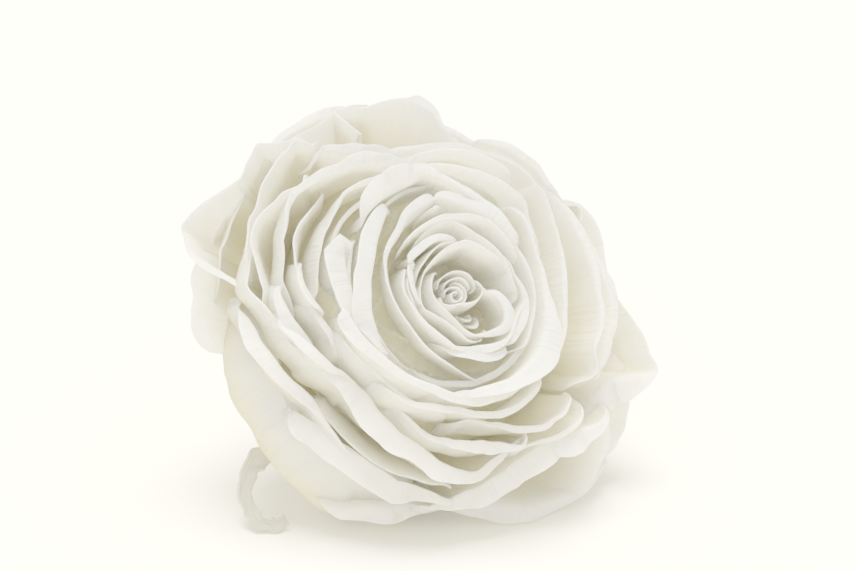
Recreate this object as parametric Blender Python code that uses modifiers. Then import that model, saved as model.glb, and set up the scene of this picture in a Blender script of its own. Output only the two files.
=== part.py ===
"""Preserved rose head with its calyx and a cut stem stub, lying on a table.

The bloom is built upright round its own axis and then leaned over: radii are measured
from that axis, heights from the top of the stem, and angles go round it with
0 degrees to the right, 90 degrees away from the table and 270 degrees towards it.
"""
import math
import random

import bmesh
import bpy
from mathutils import Matrix, Vector, noise

MM = 0.001

# how the head lies
AXIS_RISE = 26.7            # degrees the bloom's axis points above the table
AXIS_TURN = 19.1            # degrees it is turned towards +X from -Y
RECEPTACLE_X = -4.8         # mm, foot of the petals before the part is centred
RECEPTACLE_Y = 10.7
RECEPTACLE_Z = 21.6

PETAL_WALL = 0.75           # mm, every petal, the same on both sides of its sheet
HEART_WALL = 0.62
FOOT_RADIUS = 2.6           # mm, where a petal leaves the receptacle
FOOT_SPREAD = 0.10          # share of the rim radius added to it

CORE_RADIUS = 15.5
CORE_BOTTOM = -0.2
CORE_TOP = 19.0

# One line a petal: start and end angle, rim radii and rim heights spread evenly between
# them, how far the belly stands out past the rim, roll of the lip (radius and degrees),
# height of its foot. All in mm and degrees, read off the real bloom by eye.
HEART = [
    (90, 470, (0.9, 0.9, 1.0, 1.3, 1.8), (33.2, 33.0, 32.4), 0.1, 0.0, 0, 10.0),
    (10, 175, (2.5, 2.4, 2.3, 2.4, 2.6), (32.6, 33.4, 32.6), 0.2, 0.0, 0, 10.0),
    (200, 388, (3.0, 1.9, 2.2, 3.4, 3.4), (32.4, 33.2, 32.6), 0.3, 0.0, 0, 9.5),
    (140, 292, (4.8, 4.4, 3.7, 4.2, 6.6), (34.0, 34.0, 34.0), 0.6, 0.4, 60, 9.0),
    (283, 362, (6.6, 7.0, 7.0, 6.2, 4.6), (33.6, 34.2, 33.6), 0.6, 0.6, 100, 9.0),
    (15, 165, (7.0, 6.4, 6.2, 5.9, 6.0), (34.2, 35.0, 34.4), 0.8, 0.4, 60, 8.6),
    (172, 278, (6.2, 6.0, 5.2, 5.5, 7.6), (34.0, 34.4, 33.8), 0.9, 0.4, 60, 8.4),
]

INNER = [
    (82, 148, (7.6, 7.8, 8.3, 8.5, 9.0), (34.8, 35.4, 34.6), 1.0, 0.5, 110, 8.0),
    (152, 270, (9.5, 8.9, 7.8, 7.3, 8.8), (33.6, 35.0, 34.0), 1.2, 0.5, 80, 7.6),
    (-12, 122, (8.0, 7.3, 7.8, 9.3, 9.8), (34.6, 35.0, 34.4), 1.2, 0.5, 70, 7.6),
    (262, 376, (8.6, 8.5, 8.8, 8.9, 8.4), (33.6, 34.4, 34.2), 1.2, 0.6, 90, 7.2),
    (28, 138, (9.2, 10.0, 10.8, 11.0, 11.3), (35.2, 35.8, 34.8), 1.4, 0.5, 80, 7.0),
    (158, 282, (11.4, 9.9, 9.1, 10.2, 13.0), (33.0, 34.4, 31.6), 1.6, 0.5, 80, 6.6),
    (32, 103, (10.6, 10.7, 11.2, 12.3, 13.5), (34.6, 35.4, 34.8), 1.6, 0.8, 130, 6.4),
    (98, 168, (13.8, 12.9, 12.2, 12.2, 12.0), (34.4, 34.8, 33.8), 1.6, 0.9, 130, 6.2),
]

CUP = [
    (38, 136, (11.6, 12.6, 15.2, 17.2, 16.8), (34.2, 35.0, 33.8), 2.2, 0.5, 80, 5.8),
    (126, 290, (16.6, 15.2, 16.2, 14.6, 16.0), (33.6, 34.6, 33.4), 2.8, 1.2, 130, 5.4),
    (248, 408, (14.4, 13.7, 13.3, 12.8, 12.6), (33.4, 34.8, 33.8), 2.8, 1.2, 125, 5.4),
    (24, 150, (14.2, 16.9, 18.5, 20.0, 21.2), (32.8, 34.2, 31.4), 2.6, 0.6, 90, 5.0),
    (226, 306, (16.8, 16.1, 17.0, 17.8, 18.4), (31.4, 32.4, 31.6), 3.0, 0.7, 110, 4.8),
    (318, 418, (17.9, 17.4, 17.0, 16.6, 16.4), (31.4, 32.6, 32.0), 3.0, 0.8, 110, 4.8),
    (150, 206, (18.6, 19.6, 19.2, 18.7, 18.0), (32.0, 31.8, 30.8), 2.6, 0.7, 100, 4.6),
]

MIDDLE = [
    (58, 140, (19.8, 20.3, 20.8, 23.4, 26.6), (31.0, 32.0, 30.0), 3.0, 0.9, 110, 4.2),
    (236, 294, (18.4, 19.8, 20.9, 21.9, 22.4), (31.0, 31.8, 30.6), 3.4, 1.0, 120, 4.2),
    (264, 334, (18.6, 20.2, 22.2, 23.0, 22.6), (29.8, 30.8, 29.4), 3.4, 0.9, 110, 4.0),
    (178, 214, (24.2, 23.4, 21.9, 20.6, 19.7), (29.8, 30.2, 29.6), 2.6, 0.5, 70, 4.0),
    (298, 402, (21.6, 21.6, 21.0, 20.4, 19.6), (28.6, 29.8, 29.4), 3.2, 0.9, 110, 3.8),
    (66, 123, (20.9, 20.8, 21.4, 22.8, 26.2), (29.0, 29.6, 28.4), 3.0, 0.9, 110, 3.6),
    (166, 214, (29.4, 26.6, 24.6, 22.3, 19.8), (26.8, 28.0, 28.8), 2.2, 0.5, 70, 3.4),
    (198, 292, (22.6, 19.9, 21.7, 25.0, 23.0), (28.6, 29.8, 28.4), 3.4, 1.5, 115, 3.2),
    (136, 182, (25.6, 26.2, 26.4, 26.0, 24.6), (29.6, 30.0, 28.4), 2.2, 0.6, 90, 3.4),
    (328, 398, (25.0, 24.4, 23.8, 23.2, 22.6), (25.4, 26.4, 26.0), 3.0, 0.9, 110, 3.2),
    (134, 166, (27.4, 29.0, 29.8, 30.0, 29.2), (27.6, 28.2, 26.8), 1.8, 0.6, 90, 3.0),
]

OUTER = [
    (167, 236, (31.4, 28.0, 25.6, 24.7, 24.6), (24.0, 25.2, 24.4), 3.4, 0.8, 100, 2.6),
    (207, 273, (27.8, 25.4, 25.6, 26.9, 28.6), (21.0, 23.0, 22.2), 2.8, 1.9, 125, 2.2),
    (262, 320, (27.6, 26.4, 25.6, 26.6, 29.6), (24.0, 26.0, 25.0), 2.8, 2.3, 105, 2.2),
    (120, 154, (30.4, 30.9, 30.9, 30.5, 30.2), (24.8, 25.8, 24.0), 1.6, 0.6, 90, 2.4),
    (314, 388, (31.0, 35.6, 31.4, 28.0, 26.4), (19.6, 18.6, 20.4), 0.6, 1.0, 100, 1.8),
    (14, 76, (23.4, 22.0, 21.8, 21.8, 22.2), (22.0, 24.0, 23.6), 2.4, 0.8, 100, 2.2),
    (64, 116, (22.4, 25.0, 28.4, 30.0, 31.0), (22.4, 24.4, 23.2), 1.8, 0.7, 80, 1.8),
    (107, 142, (31.0, 31.5, 32.5, 33.4, 33.0), (22.0, 22.0, 20.4), 1.2, 0.8, 90, 1.6),
]

GUARD = [
    (131, 169, (32.8, 34.2, 36.4, 36.8, 34.2), (18.4, 17.8, 16.2), 0.0, 1.0, 110, 1.0),
    (158, 190, (31.6, 32.4, 31.8, 30.4, 28.4), (16.6, 17.0, 15.4), 0.6, 1.9, 150, 0.8),
    (178, 240, (28.4, 29.6, 30.2, 30.2, 29.6), (13.0, 15.0, 12.6), 1.2, 0.6, 60, 0.4),
    (228, 268, (32.4, 32.8, 32.2, 31.0, 29.2), (15.2, 17.0, 16.4), 0.7, 0.8, 70, 0.2),
    (258, 313, (28.8, 30.6, 33.4, 34.8, 36.0), (16.6, 17.6, 15.8), -1.7, 0.9, 80, 0.0),
    (294, 350, (34.2, 36.0, 35.8, 33.6, 31.0), (14.8, 15.2, 13.6), -2.6, 0.8, 80, 0.3),
    (4, 62, (25.6, 26.6, 25.4, 25.2, 26.0), (18.6, 20.6, 20.0), 0.8, 0.8, 90, 0.6),
    (338, 404, (30.0, 30.2, 29.0, 27.4, 25.8), (13.0, 14.6, 14.0), 0.4, 0.8, 90, 0.1),
    (34, 104, (25.6, 26.2, 27.0, 28.4, 29.2), (13.0, 14.6, 14.0), 0.4, 0.8, 90, 0.4),
    (92, 150, (29.6, 31.0, 32.0, 32.4, 32.0), (13.4, 14.6, 13.4), -0.2, 0.8, 90, 0.1),
]

# layer, grid across, grid up, wall
LAYERS = [
    (HEART, 5, 4, HEART_WALL),
    (INNER, 5, 5, HEART_WALL),
    (CUP, 6, 5, PETAL_WALL),
    (MIDDLE, 6, 5, PETAL_WALL),
    (OUTER, 6, 5, PETAL_WALL),
    (GUARD, 6, 4, PETAL_WALL),
]

# dried guard petal that has curled to a narrow strip at the lower left: points in mm in
# the part's own frame, then its half width there
STRIP = [
    (-21.0, -11.5, 10.4, 1.8),
    (-24.2, -12.3, 9.0, 1.6),
    (-25.6, -13.9, 6.8, 1.2),
    (-25.9, -15.7, 4.8, 1.0),
    (-25.2, -16.9, 3.1, 1.1),
    (-23.7, -17.7, 1.8, 1.2),
    (-21.8, -17.9, 1.1, 1.2),
    (-19.9, -17.1, 1.7, 0.8),
]
STRIP_WALL = 0.8

HIP_RADIUS = 4.6            # swelling under the petals
HIP_LENGTH = 7.0
STEM_RADIUS = 2.6
STEM_END = -17.0            # mm below the receptacle, where the stem is cut
SEPALS = 5
SEPAL_FIRST = 50.0          # degrees, direction of the first sepal
SEPAL_FOOT = 3.2            # mm from the axis
SEPAL_HEIGHT = -1.5
SEPAL_DROOP = 7.0           # mm the tip hangs below the foot
SEPAL_WALL = 0.9
SEPAL_LENGTH = 16.7
SEPAL_WIDTH = 6.4


def smooth(x):
    x = min(max(x, 0.0), 1.0)
    return x * x * (3.0 - 2.0 * x)


def along(values, x):
    """Smooth curve through evenly spread values, x from 0 to 1."""
    last = len(values) - 1
    place = min(max(x, 0.0), 1.0) * last
    i = min(int(place), last - 1)
    f = place - i
    a = values[max(i - 1, 0)]
    b = values[i]
    c = values[i + 1]
    d = values[min(i + 2, last)]
    return 0.5 * (2 * b + (c - a) * f + (2 * a - 5 * b + 4 * c - d) * f * f
                  + (3 * b - a - 3 * c + d) * f * f * f)


def petal_point(petal, seed, across, up):
    """Place on a petal in mm round the bloom's own axis; across and up run 0 to 1."""
    start, end, rims, tops, belly, roll, roll_degrees, foot = petal
    side = abs(2.0 * across - 1.0)
    rim = along(rims, across)
    top = along(tops, across)
    reach = up * (1.0 - 0.34 * side ** 5)
    lip_share = 0.84 if roll else 1.0
    foot_radius = FOOT_RADIUS + FOOT_SPREAD * rim
    body = min(reach / lip_share, 1.0)

    rise = top - foot
    points = (
        Vector((foot_radius, foot)),
        Vector((foot_radius + (rim + belly - foot_radius) * 0.82, foot + rise * 0.04)),
        Vector((rim + belly, foot + rise * 0.58)),
        Vector((rim, top)),
    )
    left = 1.0 - body
    place = (points[0] * left ** 3 + points[1] * 3 * left ** 2 * body
             + points[2] * 3 * left * body ** 2 + points[3] * body ** 3)
    if roll and reach > lip_share:
        turned = math.radians(roll_degrees) * (reach - lip_share) / (1.0 - lip_share)
        along_petal = (points[3] - points[2]).normalized()
        outward = Vector((along_petal.y, -along_petal.x))
        place = (place + along_petal * roll * math.sin(turned)
                 + outward * roll * (1.0 - math.cos(turned)))

    width = 0.55 + 0.45 * smooth(reach / 0.6)
    middle = 0.5 * (start + end)
    angle = math.radians(middle + (start + (end - start) * across - middle) * width)
    spot = Vector((across * 2.2, reach * 1.6, seed * 7.3))
    wave = noise.noise(spot) * 0.9 * smooth(reach) * min(place.x / 20.0, 1.0)
    radius = place.x + wave
    return Vector((radius * math.cos(angle), radius * math.sin(angle), place.y))


def sheet(name, across, up, place, wall, collection):
    """Grid of across by up quads put on the surface place(u, v), split and thickened."""
    mesh = bpy.data.meshes.new(name)
    grid = bmesh.new()
    bmesh.ops.create_grid(grid, x_segments=across, y_segments=up, size=0.5)
    for vertex in grid.verts:
        vertex.co = place(vertex.co.x + 0.5, vertex.co.y + 0.5)
    bmesh.ops.triangulate(grid, faces=grid.faces, quad_method="SHORT_EDGE")
    grid.to_mesh(mesh)
    grid.free()
    piece = bpy.data.objects.new(name, mesh)
    collection.objects.link(piece)
    thick = piece.modifiers.new("Wall", "SOLIDIFY")
    thick.thickness = wall * MM
    thick.offset = 0.0
    apply_modifiers(piece)
    return piece


def apply_modifiers(piece):
    bpy.ops.object.select_all(action="DESELECT")
    bpy.context.view_layer.objects.active = piece
    piece.select_set(True)
    for modifier in list(piece.modifiers):
        bpy.ops.object.modifier_apply(modifier=modifier.name)


def lean():
    """Turns the upright bloom to the way it lies, feet of the petals at the receptacle."""
    rise = math.radians(AXIS_RISE)
    turn = math.radians(AXIS_TURN)
    axis = Vector((math.sin(turn) * math.cos(rise), -math.cos(turn) * math.cos(rise),
                   math.sin(rise)))
    right = Vector((math.cos(turn), math.sin(turn), 0.0))
    away = axis.cross(right)
    rotation = Matrix((right, away, axis)).transposed().to_4x4()
    place = Vector((RECEPTACLE_X, RECEPTACLE_Y, RECEPTACLE_Z)) * MM
    return Matrix.Translation(place) @ rotation


def shells(mesh):
    """Connected pieces of a bmesh with the volume each one closes in."""
    mesh.verts.ensure_lookup_table()
    seen = set()
    found = []
    for first in mesh.verts:
        if first.index in seen:
            continue
        seen.add(first.index)
        todo = [first]
        members = []
        while todo:
            vertex = todo.pop()
            members.append(vertex)
            for edge in vertex.link_edges:
                other = edge.other_vert(vertex)
                if other.index not in seen:
                    seen.add(other.index)
                    todo.append(other)
        faces = {face for vertex in members for face in vertex.link_faces}
        volume = 0.0
        for face in faces:
            corners = [loop.vert.co for loop in face.loops]
            for i in range(1, len(corners) - 1):
                volume += corners[0].dot(corners[i].cross(corners[i + 1])) / 6.0
        found.append((volume, members))
    return found


def keep_main_shell(piece):
    """Fills hollows that the joining sealed and drops loose scraps."""
    mesh = bmesh.new()
    mesh.from_mesh(piece.data)
    bmesh.ops.remove_doubles(mesh, verts=mesh.verts, dist=0.000002)
    found = sorted(shells(mesh), key=lambda item: item[0], reverse=True)
    for volume, members in found[1:]:
        bmesh.ops.delete(mesh, geom=members, context="VERTS")
    mesh.to_mesh(piece.data)
    mesh.free()


def material(name, colour, roughness):
    made = bpy.data.materials.new(name)
    made.use_nodes = True
    shader = made.node_tree.nodes["Principled BSDF"]
    shader.inputs["Base Color"].default_value = (*colour, 1.0)
    shader.inputs["Roughness"].default_value = roughness
    made.diffuse_color = (*colour, 1.0)
    return made


def join(name, pieces, collection, tools):
    """One solid from pieces that overlap: the first takes all the others in."""
    body = pieces[0]
    body.name = name
    body.data.name = name
    group = bpy.data.collections.new(name + " pieces")
    tools.children.link(group)
    for other in pieces[1:]:
        for holder in list(other.users_collection):
            holder.objects.unlink(other)
        group.objects.link(other)
    union = body.modifiers.new("Join", "BOOLEAN")
    union.operation = "UNION"
    union.operand_type = "COLLECTION"
    union.collection = group
    union.solver = "MANIFOLD"
    apply_modifiers(body)
    for other in list(group.objects):
        bpy.data.objects.remove(other)
    bpy.data.collections.remove(group)
    return body


def press_flat(piece, tools):
    """Cuts away what would sink into the table."""
    size = 0.12
    cutter_mesh = bpy.data.meshes.new("table cutter")
    block = bmesh.new()
    bmesh.ops.create_cube(block, size=1.0)
    bmesh.ops.scale(block, vec=(size, size, 0.02), verts=block.verts)
    bmesh.ops.translate(block, vec=(0.0, 0.0, -0.01), verts=block.verts)
    block.to_mesh(cutter_mesh)
    block.free()
    cutter = bpy.data.objects.new("table cutter", cutter_mesh)
    tools.objects.link(cutter)
    cutter.hide_render = True
    cutter.display_type = "WIRE"
    cut = piece.modifiers.new("Table", "BOOLEAN")
    cut.operation = "DIFFERENCE"
    cut.object = cutter
    cut.solver = "MANIFOLD"
    apply_modifiers(piece)
    bpy.data.objects.remove(cutter)


def build_bloom(collection, tools):
    turn = lean()
    core_mesh = bpy.data.meshes.new("bloom")
    core = bmesh.new()
    bmesh.ops.create_uvsphere(core, u_segments=12, v_segments=8, radius=1.0)
    bmesh.ops.scale(core, verts=core.verts,
                    vec=(CORE_RADIUS, CORE_RADIUS, 0.5 * (CORE_TOP - CORE_BOTTOM)))
    bmesh.ops.translate(core, verts=core.verts, vec=(0, 0, 0.5 * (CORE_TOP + CORE_BOTTOM)))
    bmesh.ops.scale(core, verts=core.verts, vec=(MM, MM, MM))
    bmesh.ops.transform(core, verts=core.verts, matrix=turn)
    core.to_mesh(core_mesh)
    core.free()
    pieces = [bpy.data.objects.new("bloom", core_mesh)]
    collection.objects.link(pieces[0])

    seed = 0
    for layer, across, up, wall in LAYERS:
        for petal in layer:
            seed += 1
            columns = across
            if petal[1] - petal[0] > 140:
                columns = across + 3

            def place(u, v, petal=petal, seed=seed):
                return turn @ (petal_point(petal, seed, u, v) * MM)

            pieces.append(sheet("petal", columns, up, place, wall, tools))

    def strip_place(u, v):
        spot = Vector([along([p[k] for p in STRIP], v) for k in range(3)])
        ahead = Vector([along([p[k] for p in STRIP], min(v + 0.02, 1.0)) for k in range(3)])
        behind = Vector([along([p[k] for p in STRIP], max(v - 0.02, 0.0)) for k in range(3)])
        forward = (ahead - behind).normalized()
        sideways = forward.cross(Vector((0.0, -1.0, 0.35))).normalized()
        half = along([p[3] for p in STRIP], v)
        return (spot + sideways * half * (2.0 * u - 1.0)) * MM

    pieces.append(sheet("strip", 2, 12, strip_place, STRIP_WALL, tools))
    bloom = join("bloom", pieces, collection, tools)
    press_flat(bloom, tools)
    keep_main_shell(bloom)
    bloom.data.materials.clear()
    bloom.data.materials.append(material("ivory petals", (0.86, 0.84, 0.77), 0.55))
    return bloom


def sepal_point(index, across, up):
    """Place on a sepal in mm round the bloom's axis: out under the petals, tip bent back."""
    angle = math.radians(SEPAL_FIRST + index * 360.0 / SEPALS)
    half = 0.5 * SEPAL_WIDTH * (1.0 - up) ** 0.7 * (0.75 + 0.5 * math.sin(math.pi * up)) + 0.35
    out = SEPAL_FOOT + SEPAL_LENGTH * up
    low = SEPAL_HEIGHT - SEPAL_DROOP * up ** 1.6
    side = (2.0 * across - 1.0) * half
    cupped = 0.05 * side * side
    return Vector((out * math.cos(angle) - side * math.sin(angle),
                   out * math.sin(angle) + side * math.cos(angle), low + cupped))


def build_calyx_and_stem(collection, tools):
    turn = lean()
    profile = [
        (0.0, SEPAL_HEIGHT - 0.2),
        (HIP_RADIUS * 0.92, SEPAL_HEIGHT - 0.2),
        (HIP_RADIUS, SEPAL_HEIGHT - 2.2),
        (HIP_RADIUS * 0.86, SEPAL_HEIGHT - 4.6),
        (STEM_RADIUS * 1.1, SEPAL_HEIGHT - HIP_LENGTH),
        (STEM_RADIUS, SEPAL_HEIGHT - HIP_LENGTH - 1.4),
        (STEM_RADIUS, STEM_END),
        (0.0, STEM_END),
    ]
    mesh = bpy.data.meshes.new("calyx_and_stem")
    outline = bmesh.new()
    corners = [outline.verts.new(Vector((radius * MM, 0.0, height * MM)))
               for radius, height in profile]
    edges = [outline.edges.new(pair) for pair in zip(corners, corners[1:])]
    bmesh.ops.spin(outline, geom=corners + edges, cent=(0, 0, 0), axis=(0, 0, 1),
                   angle=math.tau, steps=20, use_merge=False, use_duplicate=False)
    bmesh.ops.remove_doubles(outline, verts=outline.verts, dist=0.00001)
    bmesh.ops.recalc_face_normals(outline, faces=outline.faces)
    bmesh.ops.transform(outline, verts=outline.verts, matrix=turn)
    outline.to_mesh(mesh)
    outline.free()
    hip = bpy.data.objects.new("calyx_and_stem", mesh)
    collection.objects.link(hip)
    pieces = [hip]
    for index in range(SEPALS):

        def place(u, v, index=index):
            return turn @ (sepal_point(index, u, v) * MM)

        pieces.append(sheet("sepal", 3, 7, place, SEPAL_WALL, tools))
    calyx = join("calyx_and_stem", pieces, collection, tools)
    press_flat(calyx, tools)
    keep_main_shell(calyx)
    calyx.data.materials.clear()
    calyx.data.materials.append(material("dried green", (0.55, 0.58, 0.42), 0.6))
    return calyx


def main():
    for item in list(bpy.data.objects):
        bpy.data.objects.remove(item)
    collection = bpy.data.collections.new("preserved rose")
    bpy.context.scene.collection.children.link(collection)
    tools = bpy.data.collections.new("cutters")
    bpy.context.scene.collection.children.link(tools)
    tools.hide_render = True
    build_bloom(collection, tools)
    build_calyx_and_stem(collection, tools)


main()
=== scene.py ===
from math import acos, atan2, cos, degrees, exp, hypot, pi, radians, sin, tau

import bpy
from mathutils import Matrix, Vector, noise


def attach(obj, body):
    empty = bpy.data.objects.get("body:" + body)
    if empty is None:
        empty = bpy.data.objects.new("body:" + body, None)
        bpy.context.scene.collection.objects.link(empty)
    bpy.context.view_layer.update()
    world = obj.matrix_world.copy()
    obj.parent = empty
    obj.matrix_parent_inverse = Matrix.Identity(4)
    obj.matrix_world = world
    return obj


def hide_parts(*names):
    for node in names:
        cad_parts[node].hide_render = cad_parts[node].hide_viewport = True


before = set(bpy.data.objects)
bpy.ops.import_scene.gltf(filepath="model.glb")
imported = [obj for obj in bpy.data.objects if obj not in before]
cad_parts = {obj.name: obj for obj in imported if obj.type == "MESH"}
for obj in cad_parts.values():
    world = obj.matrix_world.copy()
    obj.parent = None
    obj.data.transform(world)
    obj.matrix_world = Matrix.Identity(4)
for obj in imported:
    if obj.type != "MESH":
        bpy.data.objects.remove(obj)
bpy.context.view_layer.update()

mm = 0.001

# How the head lies on the table, the same as in the part's source
lie = {
    "axisRise": 26.7,           # degrees the bloom's axis points above the table
    "axisTurn": 19.1,           # degrees it is turned to the right
    "receptacle": (-4.8, 10.7, 21.6),   # foot of the petals, in mm
}


def layHead():
    rise = radians(lie["axisRise"])
    turn = radians(lie["axisTurn"])
    axis = Vector((sin(turn) * cos(rise), -cos(turn) * cos(rise), sin(rise)))
    right = Vector((cos(turn), sin(turn), 0.0))
    away = axis.cross(right)
    rotation = Matrix((right, away, axis)).transposed().to_4x4()
    return Matrix.Translation(Vector(lie["receptacle"]) * mm) @ rotation


headPlace = layHead()


def smooth(x):
    x = min(max(x, 0.0), 1.0)
    return x * x * (3.0 - 2.0 * x)


def along(values, x):
    # smooth curve through evenly spread values, x from 0 to 1
    last = len(values) - 1
    place = min(max(x, 0.0), 1.0) * last
    i = min(int(place), last - 1)
    f = place - i
    a = values[max(i - 1, 0)]
    b = values[i]
    c = values[i + 1]
    d = values[min(i + 2, last)]
    return 0.5 * (2 * b + (c - a) * f + (2 * a - 5 * b + 4 * c - d) * f * f
                  + (3 * b - a - 3 * c + d) * f * f * f)


def polar(radius, angle, height, centre=(0.0, 0.0)):
    return Vector((radius * cos(angle) + centre[0], radius * sin(angle) + centre[1], height))


def ripple(x, y, z):
    # smooth noise, about -1 to 1
    return noise.noise(Vector((x, y, z)))


def chance(x, y):
    # one fixed random value from 0 to 1 for each pair of whole numbers
    return noise.cell(Vector((x + 0.5, y + 0.5, 0.5)))


foldSoftness = 0.3              # 0 for sharp folds, 1 for round ones
seedStep = 17.0                 # keeps the folds of two petals apart


def kinked(x, seed):
    # a line of nearly straight runs between random values from -1 to 1, like folds in stiff cloth
    i = x // 1.0
    f = x - i
    f = f * (1.0 - foldSoftness) + smooth(f) * foldSoftness
    a = chance(i, seed * seedStep)
    b = chance(i + 1, seed * seedStep)
    return (a + (b - a) * f) * 2.0 - 1.0


def clearSelection():
    bpy.ops.object.select_all(action="DESELECT")
    bpy.context.view_layer.objects.active = None


def pick(piece):
    clearSelection()
    piece.select_set(True)
    bpy.context.view_layer.objects.active = piece


def shadeSmooth(piece, degrees=60.0):
    pick(piece)
    bpy.ops.object.shade_smooth_by_angle(angle=radians(degrees))


def addSheet(name, columns, rows, wall, shape):
    # A grid with a wall. shape takes the shares across and up it, both 0 to 1, and gives the
    # point's place in metres and its place on the UV map.
    clearSelection()
    bpy.ops.mesh.primitive_grid_add(x_subdivisions=columns, y_subdivisions=rows, size=1.0)
    piece = bpy.context.object
    piece.name = name
    mesh = piece.data
    layer = mesh.uv_layers.active or mesh.uv_layers.new()
    layer.name = "petal"
    flat = []
    for vertex in mesh.vertices:
        spot, onMap = shape(vertex.co.x + 0.5, vertex.co.y + 0.5)
        vertex.co = spot
        flat.append(onMap)
    for loop in mesh.loops:
        layer.data[loop.index].uv = flat[loop.vertex_index]
    thick = piece.modifiers.new("wall", "SOLIDIFY")
    thick.thickness = wall * mm
    thick.offset = 0.0
    bpy.ops.object.modifier_apply(modifier=thick.name)
    return piece


nearPole = 0.99999              # height on a ball of radius 1 above which there is no angle


def addTurned(name, segments, rings, shape):
    # A ball that is reshaped round the bloom's axis. shape takes the share of the way from its
    # top to its underside and the angle round it, and gives the place in mm from the petals' foot.
    clearSelection()
    bpy.ops.mesh.primitive_uv_sphere_add(segments=segments, ring_count=rings, radius=1.0)
    piece = bpy.context.object
    piece.name = name
    for vertex in piece.data.vertices:
        spot = vertex.co.normalized()
        run = acos(min(max(spot.z, -1.0), 1.0)) / pi
        angle = atan2(spot.y, spot.x) if abs(spot.z) < nearPole else 0.0
        vertex.co = headPlace @ (shape(run, angle) * mm)
    piece.data.uv_layers.active.name = "petal"
    return piece


def joinPieces(name, pieces):
    pick(pieces[0])
    for piece in pieces:
        piece.select_set(True)
    bpy.ops.object.join()
    whole = bpy.context.object
    whole.name = name
    whole.data.name = name
    shadeSmooth(whole)
    return whole


def keepAboveTable(piece):
    for vertex in piece.data.vertices:
        vertex.co.z = max(vertex.co.z, 0.0)


def setSockets(node, values):
    for name, value in values.items():
        node.inputs[name].default_value = value


class Field:
    # a number, colour or vector that runs through a material's nodes
    def __init__(self, tree, socket):
        self.tree = tree
        self.socket = socket

    def into(self, node, name):
        self.tree.links.new(self.socket, node.inputs[name])

    def node(self, kind, settings=None, inputs=None, output=0):
        made = self.tree.nodes.new(kind)
        for name, value in (settings or {}).items():
            if name == "stops":
                for i, (place, colour) in enumerate(value):
                    stop = (made.color_ramp.elements[i] if i < 2
                            else made.color_ramp.elements.new(place))
                    stop.position = place
                    stop.color = colour
            else:
                setattr(made, name, value)
        for name, value in (inputs or {}).items():
            if isinstance(value, Field):
                value.into(made, name)
            else:
                setSockets(made, {name: value})
        return Field(self.tree, made.outputs[output])

    def maths(self, operation, first, second):
        return self.node("ShaderNodeMath", {"operation": operation}, {0: first, 1: second})

    def __add__(self, other):
        return self.maths("ADD", self, other)

    def __radd__(self, other):
        return self.maths("ADD", other, self)

    def __sub__(self, other):
        return self.maths("SUBTRACT", self, other)

    def __rsub__(self, other):
        return self.maths("SUBTRACT", other, self)

    def __mul__(self, other):
        return self.maths("MULTIPLY", self, other)

    def __rmul__(self, other):
        return self.maths("MULTIPLY", other, self)


def startMaterial(name):
    made = bpy.data.materials.new(name)
    made.use_nodes = True
    shader = made.node_tree.nodes["Principled BSDF"]
    return made, shader, Field(made.node_tree, shader.outputs[0])


def mixColours(factor, first, second):
    # 6, 7 and the output 2 are the Mix node's sockets for colours
    return factor.node("ShaderNodeMix", {"data_type": "RGBA"},
                       {0: factor, 6: first, 7: second}, 2)


def noiseOn(place, scale, detail, roughness=0.5, **settings):
    return place.node("ShaderNodeTexNoise", settings, {
        "Vector": place, "Scale": scale, "Detail": detail, "Roughness": roughness})


def lengthways(start, scale, detail, roughness):
    # noise drawn out from a petal's foot to its rim, as its veins or fibres are
    onMap = start.node("ShaderNodeUVMap", {"uv_map": "petal"})
    stretched = start.node("ShaderNodeMapping", {}, {"Vector": onMap, "Scale": scale})
    return noiseOn(stretched, 1.0, detail, roughness, noise_dimensions="2D")


def setSurface(shader, finish, tone, rougher, height):
    tone.into(shader, "Base Color")
    rough = finish["roughness"] + (rougher - 0.5) * finish["roughnessChange"]
    rough.into(shader, "Roughness")
    bump = height.node("ShaderNodeBump", {}, {
        "Height": height, "Strength": finish["bumpStrength"], "Distance": finish["bumpHeight"]})
    bump.into(shader, "Normal")
    setSockets(shader, finish["constant"])


# The petals' colour runs up each petal from a yellow foot through cream to a near-white rim. It is
# partly the petals' own colour and partly painted light: the yellow foot is painted shade deep in the
# recesses, and the white rim is painted light on the lit lips.
petalFinish = {
    "rim": (0.97, 0.966, 0.965, 1.0), "rimAt": 0.80,
    "middle": (0.96, 0.948, 0.865, 1.0), "middleAt": 0.64,
    "foot": (0.94, 0.81, 0.32, 1.0), "footAt": 0.38,
    "vein": (0.89, 0.87, 0.77, 1.0), "veinScale": (34.0, 2.2, 1.0),
    "veinShade": 0.35, "veinBase": 0.10,
    "cloud": (0.92, 0.895, 0.76, 1.0), "cloudScale": 120.0,
    "cloudShade": 0.5, "cloudFrom": 0.42,
    "fleck": (0.62, 0.52, 0.34, 1.0), "fleckScale": 420.0,
    "fleckShade": 0.5, "fleckFrom": 0.76, "fleckTo": 0.80,
    "roughness": 0.62, "roughnessChange": 0.25,
    "constant": {"Specular IOR Level": 0.3, "Sheen Weight": 0.15, "Sheen Roughness": 0.5},
    "grainScale": 2600.0, "creaseScale": 170.0,
    "bump": {"vein": 0.45, "grain": 0.10, "cloud": 0.7, "crease": 0.5},
    "bumpStrength": 0.9, "bumpHeight": 0.0013,
    "translucent": 0.60, "glow": (0.965, 0.945, 0.86, 1.0),
}


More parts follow.
